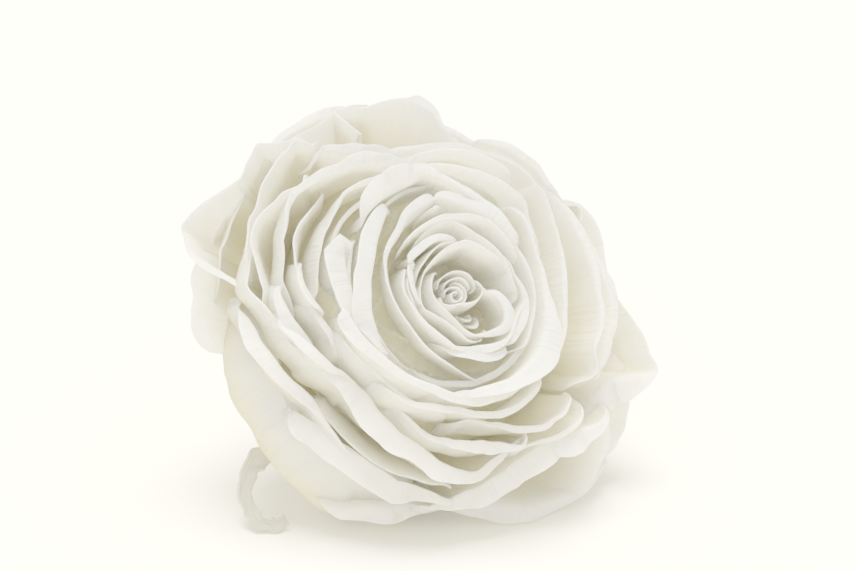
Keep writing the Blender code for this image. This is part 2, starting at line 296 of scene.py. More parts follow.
def makePetalMaterial():
    finish = petalFinish
    made, shader, start = startMaterial("ivory petal")
    onMap = start.node("ShaderNodeUVMap", {"uv_map": "petal"})
    place = start.node("ShaderNodeTexCoord", output="Object")
    reach = start.node("ShaderNodeSeparateXYZ", {}, {"Vector": onMap}, "Y")
    # colour by height up the petal: yellow at the foot, partly painted shade low in the recesses, and
    # white at the rim
    tone = start.node("ShaderNodeValToRGB", {"stops": [
        (finish["footAt"], finish["foot"]), (finish["rimAt"], finish["rim"]),
        (finish["middleAt"], finish["middle"])]}, {0: reach})

    veins = lengthways(start, finish["veinScale"], detail=3.0, roughness=0.55)
    clouds = noiseOn(place, finish["cloudScale"], detail=3.0)
    flecks = noiseOn(place, finish["fleckScale"], detail=1.0)
    veinMask = (veins - 0.5) * finish["veinShade"] + finish["veinBase"]
    tone = mixColours(veinMask, tone, finish["vein"])
    tone = mixColours((clouds - finish["cloudFrom"]) * finish["cloudShade"], tone, finish["cloud"])
    fleckMask = start.node("ShaderNodeMapRange", {}, {
        "Value": flecks, "From Min": finish["fleckFrom"], "From Max": finish["fleckTo"],
        "To Min": 0.0, "To Max": finish["fleckShade"]})
    tone = mixColours(fleckMask, tone, finish["fleck"])

    grain = noiseOn(place, finish["grainScale"], detail=2.0)
    creases = noiseOn(place, finish["creaseScale"], detail=3.0, noise_type="RIDGED_MULTIFRACTAL")
    share = finish["bump"]
    height = (veins * share["vein"] + grain * share["grain"] + clouds * share["cloud"]
              + creases * share["crease"])
    setSurface(shader, finish, tone, clouds, height)

    glow = start.node("ShaderNodeBsdfTranslucent", {}, {"Color": finish["glow"]})
    both = start.node("ShaderNodeMixShader", {}, {0: finish["translucent"], 1: start, 2: glow})
    both.into(made.node_tree.nodes["Material Output"], "Surface")
    return made


driedFinish = {
    "fibreScale": (26.0, 1.4, 1.0), "fibreShade": 1.1, "fibreFrom": 0.3,
    "cloudScale": 260.0, "cloudShade": 1.2, "cloudFrom": 0.45,
    "roughness": 0.58, "roughnessChange": 0.4, "constant": {"Specular IOR Level": 0.35},
    "grainScale": 2800.0, "bump": {"grain": 0.25, "cloud": 0.5},
    "bumpStrength": 0.6, "bumpHeight": 0.0004,
}


def makeDriedMaterial(name, colour, darker, lighter):
    finish = driedFinish
    made, shader, start = startMaterial(name)
    place = start.node("ShaderNodeTexCoord", output="Object")
    fibres = lengthways(start, finish["fibreScale"], detail=4.0, roughness=0.6)
    clouds = noiseOn(place, finish["cloudScale"], detail=4.0)
    grain = noiseOn(place, finish["grainScale"], detail=2.0)
    tone = mixColours((fibres - finish["fibreFrom"]) * finish["fibreShade"], colour, darker)
    tone = mixColours((clouds - finish["cloudFrom"]) * finish["cloudShade"], tone, lighter)
    height = fibres + grain * finish["bump"]["grain"] + clouds * finish["bump"]["cloud"]
    setSurface(shader, finish, tone, fibres, height)
    return made


petalMaterial = makePetalMaterial()
print("materials ready")

# A whorl's settings, in mm and degrees: how far a petal's ends drop (tuck, one number or one for
# each end), the width of a column (detail), rows, wall, crumple, how far the body stays inside
# the rim (hug) and how that changes round the bloom (sway), the turn of the lip, the height of
# the foot, and the size of the rolled lip. Each petal has its own changes to them and then points
# on its rim: angle round the bloom (0 right, 90 up), radius, height, and its own size of the lip.
heart = {
    "tuck": 1.0, "detail": 0.30, "rows": 26, "wall": 0.16, "crumple": 0.05, "hug": 0.0, "sway": 0.6,
    "turn": 70, "foot": 14.0, "lip": 0.1,
}
heart["petals"] = [
    [{"centre": (-0.7, -0.35), "corner": 0.1}, (70, 0.62, 33, 0), (160, 0.68, 33.1, 0),
     (250, 0.75, 33.1, 0), (340, 0.95, 33.2, 0), (430, 1.25, 33, 0), (500, 1.5, 32.6, 0)],
    [{"centre": (-0.7, -0.35), "hug": 0.2}, (-70, 1.5, 32.6, 0), (0, 1.75, 32.8, 0), (70, 2, 32.6, 0)],
    [{}, (35, 1.8, 32.8, 0), (73, 2.1, 33), (100, 2.2, 33), (135, 2.4, 32.6, 0)],
    [{}, (20, 2.6, 32.8, 0), (56, 2.8, 33), (81, 2.9, 33), (104, 3, 33), (140, 3.2, 32.6, 0)],
    [{"hug": -1.5}, (205, 2.9, 33, 0), (235, 1.9, 33.2, 0), (261, 1.5, 33.2, 0), (300, 1.8, 33.3, 0),
     (335, 2.7, 33.4, 0), (358, 3.2, 33.4), (379, 3, 33.2)],
    [{"hug": -0.4}, (143, 4.6, 33.6), (158, 4.6, 34), (175, 4.4, 34), (194, 4, 34), (219, 3.7, 34),
     (247, 4.2, 34), (265, 5.4, 34, 0.15), (278, 6.3, 34, 0.2), (290, 6.8, 33.8, 0.2)],
    [{"hug": -0.6, "turn": 110}, (283, 6.6, 33.6, 0.2), (294, 6.9, 34, 0.4), (304, 7.2, 34, 0.6),
     (315, 7.5, 34.2, 0.8), (326, 7, 34.2, 0.9), (336, 6, 34.2, 0.8), (347, 4.8, 34.2, 0.6),
     (353, 3.6, 34, 0.3)],
    [{"tuck": 0.4, "foot": 22.0}, (274, 3.3, 30.8, 0.2), (284, 3.9, 31.4, 0.3), (294, 4, 30.8, 0.2)],
    [{"tuck": 0.4, "foot": 22.0}, (282, 4.6, 30.6, 0.2), (292, 5.1, 31.4, 0.3), (303, 4.9, 30.6, 0.2)],
    [{"hug": 1.2}, (19, 7, 34), (32, 6.8, 34.2, 0.3), (48, 6.3, 34.4, 0.6), (66, 6.4, 34.8, 0.7),
     (79, 6.7, 35, 0.7), (91, 6.3, 35, 0.7), (105, 6.1, 34.8, 0.6), (120, 5.9, 34.6, 0.4),
     (135, 5.9, 34.4, 0.2), (149, 6, 34.2, 0.15), (161, 6, 34), (180, 6.1, 33.6)],
    [{"hug": 0.2}, (172, 6.2, 33.8), (194, 6.2, 34), (208, 5.4, 34), (231, 4.9, 34), (253, 5.5, 34),
     (271, 6.9, 33.8), (283, 7.2, 33.4, 0)],
]
inner = {
    "tuck": 1.8, "detail": 0.40, "rows": 28, "wall": 0.20, "crumple": 0.12, "hug": -0.2, "sway": 1.2,
    "turn": 95, "foot": 11.0, "lip": 0.2,
}
inner["petals"] = [
    [{"tuck": 0.4, "corner": 0.08}, (92, 7.4, 34.6, 0.3), (106, 8.1, 35, 0.6), (118, 8.2, 35.2, 0.9),
     (131, 8.3, 35.2, 1.1), (142, 8.7, 35, 1.1)],
    [{}, (88, 6.9, 34.4, 0.1), (105, 7.2, 34.6), (120, 7, 34.6), (135, 6.8, 34.4), (150, 6.9, 34, 0.1)],
    [{"tuck": 0.4, "corner": 0.05, "turn": 60, "hug": 0.2}, (150, 8.1, 34.4, 0.8), (163, 7.4, 34.6, 0.8),
     (176, 6.9, 34.4, 0.7), (188, 6.5, 34, 0.3)],
    [{"hug": 0.4}, (159, 9.3, 34.4, 0.1), (172, 9, 34.6), (181, 8.5, 34.8), (192, 8, 35), (207, 7.5, 35),
     (224, 7.1, 35), (242, 7.3, 34.8), (256, 8, 34.4), (268, 8.4, 34, 0.1)],
    [{"hug": 0.3}, (166, 8, 34.2), (180, 7.5, 34.4), (196, 7.2, 34.2, 0.1), (210, 6.8, 33.8, 0)],
    [{"hug": 1.6}, (-8, 8, 34, 0.1), (6, 7.4, 34.4, 0.15), (20, 7.5, 34.6, 0.15), (36, 7.6, 34.8, 0.15),
     (51, 7.7, 35, 0.15), (70, 8, 35, 0.15), (85, 9, 35, 0.15), (95, 9.8, 34.8, 0.15),
     (117, 9.7, 34.2, 0.1)],
    [{"hug": 0.0}, (262, 7.6, 33.6, 0.3), (269, 7.7, 34, 0.5), (280, 7.7, 34.2, 0.6),
     (292, 8.2, 34.4, 0.6), (302, 8.7, 34.4, 0.4), (311, 8.8, 34.4), (322, 8.3, 34.4), (335, 8.3, 34.4),
     (348, 9, 34.4), (360, 8.5, 34.4), (370, 8.2, 34, 0.1)],
    [{"hug": 0.4}, (245, 8.7, 33.4, 0.4), (254, 8.6, 33.6, 0.6), (268, 8.5, 33.8, 0.8),
     (282, 9, 33.8, 0.8), (297, 10, 33.4, 0.5)],
    [{}, (309, 10.1, 34, 0.3), (319, 9.6, 34.2, 0.5), (333, 9.5, 34.4, 0.5), (346, 9.5, 34.4, 0.4),
     (357, 9, 34.4, 0.3), (371, 8.4, 34.2), (386, 8.4, 34, 0.1)],
    [{"hug": 1.6}, (30, 9.3, 34.6, 0.1), (52, 9.9, 35), (66, 10.5, 35.4), (78, 10.7, 35.6),
     (90, 10.7, 35.6), (101, 10.9, 35.6), (116, 11, 35.2, 0.1), (131, 11, 34.6, 0.1)],
    [{}, (313, 11.7, 33.8, 0.3), (328, 11, 34, 0.3), (347, 10.5, 34.2, 0.3), (366, 10.3, 34.2, 0.3),
     (383, 10.4, 34.2, 0.3), (397, 10.6, 34)],
    [{"corner": 0.1, "hug": 1.8, "turn": 120}, (36, 10.6, 34.4, 0.5), (52, 10.8, 34.8, 0.8),
     (65, 11, 35, 1), (77, 11.4, 35, 1.1), (87, 12.3, 35, 1), (96, 13.2, 34.8, 0.9)],
    [{"foot": 24.0, "corner": 0.1, "hug": 0.3}, (96, 12.2, 33.8), (100, 12.4, 34.6, 0.3),
     (104, 12.5, 33.8)],
    [{"corner": 0.1, "hug": 1.6, "turn": 120}, (101, 13.6, 34.2, 0.9), (111, 13.4, 34.6, 0.9),
     (120, 13.1, 34.8, 0.8), (130, 12.4, 34.8, 0.7), (144, 12.2, 34.6, 0.8), (153, 11.9, 34.4, 0.8),
     (163, 11.2, 34.4, 0.6), (176, 10.3, 34.4, 0.3), (187, 9.6, 34.4), (199, 9.1, 34.4), (212, 9, 34.4),
     (225, 9.3, 34.4), (240, 9.8, 34), (253, 10.5, 33.4), (266, 11.7, 32.6, 0.1),
     (275, 12.7, 31.8, 0.1)],
]
cup = {
    "tuck": 2.6, "detail": 0.55, "rows": 30, "wall": 0.22, "crumple": 0.26, "hug": -0.6, "sway": 2.4,
    "turn": 108, "foot": 8.0, "lip": 0.3,
}
cup["petals"] = [
    [{"corner": 0.1}, (38, 11.4, 34), (57, 11.8, 34.4), (71, 12.7, 34.8, 0.4), (79, 13.8, 35, 0.4),
     (86, 15, 35), (94, 16.3, 35, 0.4), (100, 17.4, 34.8, 0.8), (106, 17.4, 34.6, 1.2),
     (113, 17.2, 34.2, 1.4), (120, 17, 34, 1.4), (131, 16.8, 33.6, 1.3)],
    [{"tuck": 1.5, "corner": 0.12, "turn": 95}, (128, 16, 33.4, 1.4), (140, 14.9, 33.6, 1.9),
     (155, 13.9, 33.8, 2.1), (171, 13.5, 33.8, 2), (186, 13.6, 33.6, 1.6), (196, 13.9, 33.4, 1.1),
     (208, 14.2, 33.2, 0.5)],
    [{"corner": 0.06, "tuck": (0.8, 2.6), "bend": 0.3, "kink": 0.5}, (186, 16.6, 33.6, 1.4),
     (193, 16.1, 34.2, 1.4), (203, 15.7, 34.6, 1.1), (213, 15.2, 34.8, 0.9), (223, 15, 34.8, 0.8),
     (235, 14.6, 34.8, 0.7), (247, 14.3, 34.6, 0.8), (259, 14.5, 34.4, 0.8), (271, 14.9, 34, 0.8),
     (282, 15.3, 33.4, 0.5), (292, 16, 32.6, 0.2)],
    [{}, (250, 14.5, 33.6, 0.2), (262, 14, 34.2, 0.5), (270, 13.8, 34.6, 0.8), (283, 13.6, 35, 1.3),
     (297, 13.6, 35, 1.8), (312, 13.4, 35, 2), (326, 13, 34.8, 1.4), (339, 12.6, 34.6, 0.9),
     (354, 12.2, 34.4, 0.6), (373, 12.6, 34.2, 0.5), (386, 13.4, 34, 0.5), (397, 14.2, 33.8, 0.4),
     (407, 14.7, 33.4)],
    [{}, (24, 13.8, 33), (37, 14.9, 33.4), (46, 16, 33.8), (61, 16.8, 34.2), (77, 17.6, 34.4),
     (91, 18.6, 34.4), (106, 19.2, 34.2, 0.5), (119, 20, 33.6, 0.7), (131, 20.8, 32.8, 0.7),
     (139, 21.1, 32.2, 0.4), (146, 21.3, 31.5, 0.1), (154, 21.1, 30.8, 0.06), (162, 20.5, 30, 0.06),
     (170, 19.5, 29.2, 0.06)],
    [{}, (314, 16.8, 31.6), (330, 16.5, 32, 0.4), (345, 16.1, 32.4, 0.5), (360, 16.3, 32.4, 0.5),
     (375, 17, 32.2, 0.5), (386, 17.9, 32, 0.4), (402, 19.6, 31.4)],
    [{}, (226, 16.9, 32.4, 0.2), (236, 16.5, 32.8, 0.7), (246, 16.1, 33, 1), (257, 16.1, 33, 1),
     (268, 16.8, 33, 0.9), (279, 17.3, 32.6, 0.7), (292, 17.7, 32.2, 0.4), (304, 18, 31.8, 0.2)],
    [{}, (196, 18, 30.8, 0.2), (211, 17.1, 31.4), (223, 16.8, 31.6), (234, 16.6, 31.8),
     (252, 16.4, 31.8, 0.2)],
    [{}, (96, 15.2, 30.6, 0.4), (120, 15.4, 31.2, 0.5), (145, 14.6, 31.4, 0.5), (170, 13, 31.2, 0.4),
     (200, 12.6, 30.6), (226, 12.6, 29.6, 0.2)],
    [{}, (60, 15.6, 30), (90, 17.4, 30.6, 0.4), (120, 18.2, 30.8, 0.5), (142, 18.8, 30.4, 0.5),
     (165, 17.6, 29.8, 0.4)],
    [{}, (150, 16.2, 30.4, 0.5), (172, 15.2, 30.8, 0.5), (192, 14.6, 30.6, 0.4), (215, 14, 30)],
    [{}, (240, 12.4, 30.6), (270, 12.2, 31, 0.4), (300, 12, 31.2, 0.4), (330, 11.8, 31.4, 0.4),
     (360, 11.4, 31.2)],
    [{"tuck": 0.4, "corner": 0.03, "turn": 68, "hug": -1.0, "bend": 0.15, "kink": 0.2},
     (154, 17, 31.4, 1.8), (161, 16.4, 31.8, 1.9), (168, 15.7, 32, 1.9), (177, 15, 32, 1.6),
     (187, 14.2, 31.6, 1.1)],
]
middle = {
    "tuck": 3.0, "detail": 0.60, "rows": 30, "wall": 0.24, "crumple": 0.40, "hug": -0.8, "sway": 2.6,
    "turn": 102, "foot": 6.5, "lip": 0.5,
}
middle["petals"] = [
    [{"turn": 95}, (60, 20, 30.8, 0.2), (79, 20.2, 31.4, 0.3), (96, 20, 32, 0.4), (106, 19.8, 32, 0.7),
     (113, 20.8, 31.8, 1), (120, 22.2, 31.6, 1.2), (127, 23.4, 31.2, 1.1), (133, 24.7, 30.6, 0.9),
     (139, 26.3, 29.8, 0.6), (143, 26.9, 29.4), (149, 26, 29, 0.3), (155, 25.2, 28.4, 0.1),
     (162, 24.3, 27.4, 0.06), (169, 23.6, 26.2, 0.06), (176, 22.8, 25.2, 0.06)],
    [{"turn": 95}, (66, 21.2, 27.8, 0.2), (77, 20.9, 28.4, 0.6), (89, 20.5, 28.6, 0.9),
     (101, 21.1, 28.6, 1.1), (107, 21.7, 28.4, 1.2), (113, 22.9, 28, 1.3), (118, 24.8, 27.6, 1.1),
     (123, 27.4, 27)],
    [{}, (238, 18.2, 29.2, 0.3), (250, 19.6, 29.7, 0.6), (259, 20.2, 29.8, 1), (267, 21.1, 30, 1.5),
     (275, 21.9, 29.8, 1.7), (281, 22.2, 29.7, 1.3), (287, 22.7, 29.4, 0.6)],
    [{"turn": 90}, (268, 18.2, 30, 0.3), (279, 19.6, 30, 1), (288, 21.2, 30, 1.5), (297, 22.8, 30, 1.5),
     (303, 23.4, 29.8, 1), (310, 23.9, 29.4, 0.4)],
    [{}, (183, 24.4, 27.4, 0.6), (187, 22.6, 28.1, 1.1), (193, 21.2, 28.6, 1.1), (201, 20.2, 28.6, 0.9),
     (207, 19.6, 28.4), (214, 19.2, 28, 0.2)],
    [{"tuck": (1.5, 3.0)}, (159, 28, 22.8, 0.06), (165, 28.6, 24.6, 0.1), (170, 28.5, 25.2, 0.12),
     (175, 26.5, 25.6, 0.15), (181, 25, 25.9, 0.15), (187, 24.1, 26.1, 0.15), (193, 22.9, 26.4, 0.15),
     (201, 21.6, 26.7, 0.15), (209, 19.8, 27, 0.1)],
    [{"turn": 98, "kink": 0.6, "bend": 0.30}, (200, 22.4, 27), (211, 19.9, 27.6, 1.7),
     (221, 19.3, 27.8, 2.5), (232, 19.8, 27.9, 2.6), (240, 20.5, 27.9, 2.4), (250, 21.9, 27.8, 2),
     (258, 23.4, 27.5, 2.2), (265, 24.6, 27.2, 1.6), (272, 25.2, 26.8, 1.1), (280, 24.2, 26.5, 0.8),
     (288, 23.4, 26.2, 0.4)],
    [{}, (327, 24, 28, 0.3), (334, 21.8, 28.8), (344, 22, 29.2), (355, 21.8, 29.4), (366, 21.7, 29.4),
     (379, 21.4, 29.2), (392, 21.9, 28.6, 0.3)],
    [{"hug": 0.6}, (330, 25.6, 25, 0.3), (343, 25.5, 26), (353, 25.4, 26.4), (363, 24.9, 26.6),
     (376, 24.3, 26.4), (393, 23.6, 25.4, 0.3)],
    [{"hug": 2.4, "sway": 0.0}, (136, 26, 27.2, 0.1), (142, 28.1, 27.2, 0.1), (147, 28.9, 27, 0.1),
     (152, 29.3, 26.8, 0.1), (158, 29, 26.6, 0.1), (163, 28, 26.6, 0.1), (169, 26.7, 26.8, 0.1)],
    [{"hug": 1.6, "sway": 0.0}, (138, 23.8, 28.2, 0.1), (146, 23.9, 28.8, 0.1), (153, 23.8, 28.8, 0.1),
     (160, 23, 28.6, 0.1), (167, 21.9, 28.2, 0.1)],
    [{"turn": 75, "tuck": 1.5}, (164, 22.2, 29, 0.6), (169, 21.6, 29.4, 1.1), (174, 20.4, 29.4, 1.2),
     (179, 19.2, 29, 0.4)],
    [{"tuck": 2.0}, (172, 24.6, 27.2), (178, 23.6, 27.4, 0.9), (184, 22.6, 27.6, 1),
     (190, 21.6, 27.4, 0.4)],
    [{"tuck": 2.0}, (178, 20.6, 28.6, 0.6), (184, 19, 28.8, 1.2), (190, 18.2, 28.8, 1.3),
     (196, 18.2, 28.4)],
    [{}, (292, 24, 26.4, 0.3), (299, 24.6, 27, 0.8), (306, 25, 27, 0.9), (312, 25.4, 26.6)],
]
outer = {
    "tuck": 3.4, "detail": 0.65, "rows": 32, "wall": 0.26, "crumple": 0.45, "hug": -0.8, "sway": 2.0,
    "turn": 102, "foot": 4.5, "lip": 0.1,
}
outer["petals"] = [
    [{"turn": 104, "tuck": (2.4, 3.4), "kink": 0.5, "bend": 0.32}, (175, 29.2, 20.2, 0.3),
     (178, 28.5, 22, 1.2), (181, 27.9, 22.7, 1.7), (185, 27.2, 22.9, 1.9), (190, 26.1, 23.2, 1.7),
     (200, 25, 23.5, 1.3), (207, 24.4, 23.5, 1.3), (214, 24.3, 23.5, 0.9), (222, 24.5, 23.2, 0.4),
     (231, 25.4, 22.6)],
    [{"turn": 96, "tuck": (0.8, 1.8), "kink": 0.3, "bend": 0.3, "corner": 0.12}, (209, 26.8, 20.2, 0.5),
     (213, 25.9, 20.9, 1.6), (219, 25.2, 21.2, 1.8), (231, 25.2, 21.6, 2.2), (241, 26.1, 22, 2.6),
     (249, 26.5, 22, 2.4), (255, 27, 22, 1.6), (263, 28, 22, 0.8), (269, 28.9, 21.6, 0.3)],
    [{"turn": 88}, (262, 28.6, 20.8, 0.5), (270, 27.6, 22.4, 1.5), (275, 27, 23, 2.2),
     (284, 25.6, 23.8, 2.8), (296, 25.6, 24.4, 2.8), (303, 26.3, 24.8, 2.4), (310, 27.5, 25, 1.8),
     (317, 29.6, 24.6, 0.8)],
    [{"hug": 2.4, "sway": 0.0, "tuck": 2.0}, (123, 29, 24.4), (126, 31, 25.8), (130, 30.7, 25.3),
     (136, 30.9, 25), (141, 30.9, 25), (146, 30.3, 24.8), (150, 30.2, 24.6), (156, 29.7, 24.4),
     (163, 29, 24)],
    # the pointed petal at the right
    [{"hug": 0.5, "turn": 118, "bend": 0.25}, (322, 28, 19.6, 1.2), (326, 28.4, 20, 1.9),
     (331, 30, 20, 2.1), (334, 32.6, 20, 1.8), (337, 36.5, 19.6, 0.3), (341, 34.7, 19, 0.15),
     (345, 33.1, 18.6, 0.15), (352, 30.6, 18.8, 0.2), (361, 28.2, 19, 0.4), (373, 27.5, 19.8, 0.4),
     (384, 26.9, 20.4, 0.3)],
    [{"hug": 1.4}, (14, 23.8, 22, 0.3), (26, 22.4, 23, 0.4), (38, 22.7, 23.6, 0.4), (47, 23, 24, 0.4),
     (57, 22.7, 24, 0.4), (67, 22.7, 23.6, 0.4), (76, 23.6, 22.6, 0.3)],
    [{"corner": 0.1, "tuck": 2.0, "hug": -1.0, "sway": 0.0}, (14, 24.6, 20.4, 0.2), (19, 25.6, 21, 0.2),
     (24, 27.2, 21.6, 0.2), (27, 27.2, 21, 0.2), (31, 24.6, 20, 0.2)],
    [{"hug": 2.0, "tuck": (3.4, 0.6), "corner": 0.1}, (66, 22.8, 23, 0.3), (72, 23.4, 23.6, 0.3),
     (77, 24.2, 24, 0.3), (81, 25.8, 24, 0.4), (84, 27, 24, 0.8), (88, 28.3, 23.8, 0.9),
     (92, 29.2, 23.6, 0.4), (97, 29.9, 23.4, 0.2), (102, 30.5, 23.2), (107, 31, 23.2),
     (111.5, 31.4, 23.6), (111, 29.8, 24), (109.5, 28, 24.2), (108, 26.4, 24)],
    [{"hug": 3.5, "tuck": (3.4, 1.6)}, (104, 31, 21.4), (110, 31, 21.8), (116, 30.8, 22.2),
     (121, 31, 22.2), (126, 31.8, 22.2), (130, 33.4, 22.2), (132, 34, 22), (135, 33.6, 21.6),
     (139, 33.1, 21)],
]
guard = {
    "tuck": 3.4, "detail": 0.70, "rows": 30, "wall": 0.28, "crumple": 0.45, "hug": 0.4, "sway": 0.8,
    "turn": 95, "foot": 1.8, "lip": 0.1,
}
guard["petals"] = [
    [{"hug": 0.5}, (134, 31.4, 18), (143, 31.4, 16.4), (152, 31.4, 15.6), (160, 31.2, 15.2),
     (168, 30.6, 14.4)],
    [{"hug": 4.5, "tuck": (3.4, 1.6)}, (131, 32.6, 19), (137, 32.8, 18.8), (143, 34.3, 18.4, 0.15),
     (149, 36.3, 18, 0.2), (153, 37.3, 17.8, 0.15), (155.5, 38, 17.6), (158, 37, 17.6, 0.15),
     (161, 35.8, 18, 0.3), (163, 34.2, 18.8, 0.4), (164.5, 32.4, 19.8, 0.4), (166.5, 30.4, 20.8, 0.3),
     (169, 28.9, 21.6, 0.2), (172, 27.9, 21.8)],
    # the curled lobe at the left
    [{"hug": 5.0, "sway": 0.0, "turn": 150, "tuck": 2.4, "bend": 0.3}, (162, 33.6, 16.2, 0.5),
     (166, 33.9, 15.4, 1), (170, 33.4, 14.6, 1.4), (174, 32.7, 14, 1.6), (178, 31.8, 13.4, 1.7),
     (182, 30.4, 12.8, 1.4), (185, 28.6, 12.4, 0.8)],
    [{"hug": -2.0, "sway": 0.0, "bulge": 8.2, "tuck": 2.0, "crumple": 0.8}, (176, 22.4, 17),
     (186, 24, 18.4), (195, 25.2, 18.8), (205, 25.4, 18.8), (215, 26, 18.6), (226, 26.6, 18),
     (238, 27, 16.6)],
    [{"hug": -2.0, "sway": 0.0, "bulge": 7.2, "corner": 0.05, "crumple": 0.8, "tuck": (0.5, 3.4)},
     (194, 25, 17.6), (203, 25.8, 18.4), (214, 26.3, 18.6), (226, 26, 18.6), (238, 25.6, 18),
     (252, 25.6, 17.4)],
    [{"hug": 3.0, "tuck": (0.8, 3.4), "corner": 0.05}, (233, 32.4, 15, 0.15), (237, 31.4, 15.8, 0.8),
     (243, 30.4, 16.6, 1.4), (250, 29.6, 17, 1.5), (257, 29, 17.2, 1.1), (266, 28.8, 16.6, 0.4)],
    [{"hug": 3.0}, (262, 28.6, 16.4, 0.4), (270, 29.2, 17, 1.1), (276, 29.8, 17.6, 1.5),
     (281, 30.8, 17.6, 1.7), (287, 31.9, 17.4, 1.6), (293, 33.4, 17, 1.3), (301, 35.2, 16.4, 0.8),
     (311, 35.8, 15.8, 0.4)],
    [{"hug": 5.0, "crumple": 0.6}, (296, 35.4, 15.6, 0.5), (305, 35.4, 17, 0.6), (311, 34.2, 18, 0.6),
     (317, 32.4, 18.6, 0.6), (324, 30.6, 18.4, 0.4)],
    [{"hug": 5.0, "crumple": 0.6}, (304, 34.8, 14, 0.4), (313, 35.2, 14.4, 0.4), (320, 35.4, 14.6, 0.4),
     (326, 34.5, 14.4, 0.3), (334, 32.8, 13.8, 0.3), (345, 31, 13.4, 0.3)],
    [{}, (4, 25.6, 18.6, 0.5), (18, 26.6, 20, 0.7), (33, 25.4, 20.6, 0.7), (48, 25.2, 20.6, 0.7),
     (62, 26, 20, 0.5)],
    [{}, (338, 30, 13, 0.5), (355, 30.2, 14, 0.7), (371, 29, 14.6, 0.7), (388, 27.4, 14.6, 0.7),
     (404, 25.8, 14, 0.5)],
    [{}, (34, 25.6, 13, 0.5), (52, 26.2, 14, 0.7), (69, 27, 14.6, 0.7), (87, 28.4, 14.6, 0.7),
     (104, 29.2, 14, 0.5)],
    [{}, (92, 29.6, 13.4, 0.5), (106, 31, 14.2, 0.7), (121, 32, 14.6, 0.7), (135, 32.4, 14.2, 0.7),
     (150, 32, 13.4, 0.5)],
    [{"hug": 3.0, "sway": 0.0, "tuck": 1.6, "foot": 4.5}, (214, 23.2, 22.2), (223, 23.6, 22.6),
     (232, 24.4, 22.6), (243, 25.1, 22.6), (254, 25.7, 22.4), (264, 26.6, 22)],
]

# Broad petals round the back, set by a rule: they overlap like the others but stay low. Each
# point of the outline is a share of the width from the petal's middle and a drop in mm.
backs = {
    "count": 6, "first": 15.0, "width": 86.0, "radius": 26.2, "height": 11.6, "lip": 0.4,
    "outline": [(-0.5, 2.6), (-0.26, 0.5), (0.0, 0.0), (0.24, 0.3), (0.5, 2.2)],
    "highLow": 1.6, "highLowSeed": 8, "inOut": 1.2, "inOutSeed": 3,
}


def addBacks():
    for i in range(backs["count"]):
        angle = backs["first"] + i * 360.0 / backs["count"]
        radius = backs["radius"] + backs["inOut"] * chance(i, backs["inOutSeed"])
        height = backs["height"] + backs["highLow"] * chance(i, backs["highLowSeed"])
        line = [{"foot": 0.7, "hug": 0.8, "sway": 0.0}]
        for place, drop in backs["outline"]:
            line.append((angle + place * backs["width"], radius, height - drop, backs["lip"]))
        guard["petals"].append(line)


addBacks()
whorls = {"heart": heart, "inner": inner, "cup": cup, "middle": middle, "outer": outer,
          "guard": guard}

# What a petal has besides its whorl's settings, and can change for itself
petalDefaults = {
    "bulge": 0.0,               # mm that its belly stands out
    "centre": (0.0, 0.0),       # mm that its rim is moved sideways
    "kink": 1.0,                # how much its lip varies in size and turn
    "corner": 0.28,             # how far its corners are rounded off
    "bend": 0.42,               # share of its lip in which it bends
}

petalBody = {
    "footRadius": 2.6, "footSpread": 0.10,      # mm, and what each mm of the rim's radius adds
    "footLeast": 0.4, "footMost": 0.8,          # mm, and share of the rim's radius
    "footWidth": 0.55, "fullWidthAt": 0.6,      # share of the petal's angle, share of its height
    "guideOut": 0.90, "guideLow": 0.05, "guideHigh": 0.84,      # of the curve from foot to rim
    "fullSize": 20.0,           # petals with a smaller radius or a shorter rim are smoother, mm
    "swayFrom": 0.7,            # where round the bloom the sway is most, in radians
    "wave": 0.6, "pleat": 0.35, "crease": 1.6, "fine": 0.3,     # heights in mm
    "creaseLevel": 0.2, "pleatFrom": 0.4, "pleatLift": 0.35, "fineLift": 0.3,
}

petalLip = {
    "share": 0.72,              # share of a petal's rows that the body takes, the rest is the lip
    "steps": 14, "reach": 2.2,  # points along it, and the length of a lip of size 1 in mm
    "early": 0.85,              # share of the turn that lies in the bend
    "crease": 0.20, "creaseMost": 1.8,      # height on a lip of size 1 in mm, and the largest size
    "thin": 0.03, "smallSize": 0.35,        # the least size, and the one below which it unrolls
    "sizeChange": 0.25, "turnChange": 0.16, "leastTurn": 8.0,
    "cornerPower": 7, "torn": 0.022, "tornSlow": 0.10, "tornSeed": 3.1,
}

# How both ends of a rim round off, in two points: share of the end's turn, mm inwards, share of
# the drop, and the lip's size as a share of the end's own and a part that is added
rimEnds = [(0.6, 0.1, 0.4, 0.3, 0.0), (1.0, 0.5, 1.6, 0.0, 0.03)]
mostEndTurn = 40.0

# Noise over a petal: how fast it changes across and up the petal, where it starts, and what
# keeps it apart from other noise: a step from one petal's seed to the next, or a first seed
ripples = {
    "wave": (2.2, 1.6, 0.0, 7.3), "crease": (0.16, 1.3, 5.0, 2.9), "fine": (0.5, 0.22, 0.0, 9.1),
    "wrinkle": (0.33, 0.20, 0.0, 4.3), "lip": (0.40, 1.6, 0.0, 5.7),
}
kinks = {
    "pleat": (0.17, 0.6, 0.0, 120), "size": (0.13, 0.0, 7.0, 80), "turn": (0.2, 0.0, 0.0, 40),
    "torn": (0.2, 0.0, 3.0, 0), "lip": (0.32, 1.3, 0.0, 200),
}


